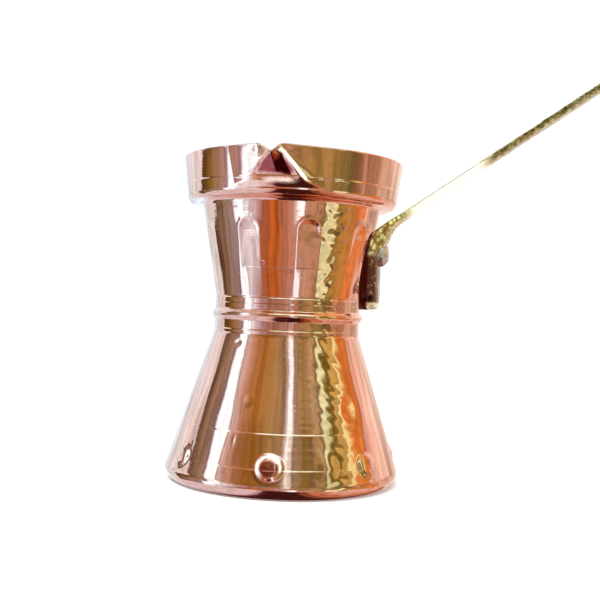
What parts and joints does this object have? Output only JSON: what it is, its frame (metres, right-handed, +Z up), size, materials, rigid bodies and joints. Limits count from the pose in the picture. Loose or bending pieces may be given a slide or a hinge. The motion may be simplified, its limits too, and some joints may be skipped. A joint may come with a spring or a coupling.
{
  "type": "hourglass copper coffee pot",
  "caption": "Hourglass coffee pot of polished copper, lined with tin, with a pouring lip, fluted neck and a long riveted brass handle, for boiling coffee.",
  "frame": {"origin": "centre of the base, on the surface that the pot stands on", "axes": "+Z up along the pot's axis, +X towards the handle, -Y towards the pouring lip"},
  "size_m": [0.1878, 0.0787, 0.1671],
  "materials": {
    "copper": "polished copper, hand worked",
    "tin": "wiped tin, satin",
    "brass": "polished brass, filed and hammered",
    "rivet_metal": "hammered, satin"
  },
  "bodies": {
    "root": {"copper_pot": "copper", "tin_lining": "tin", "brass_handle": "brass", "upper_rivet": "rivet_metal", "lower_rivet": "rivet_metal"}
  },
  "joints": []
}
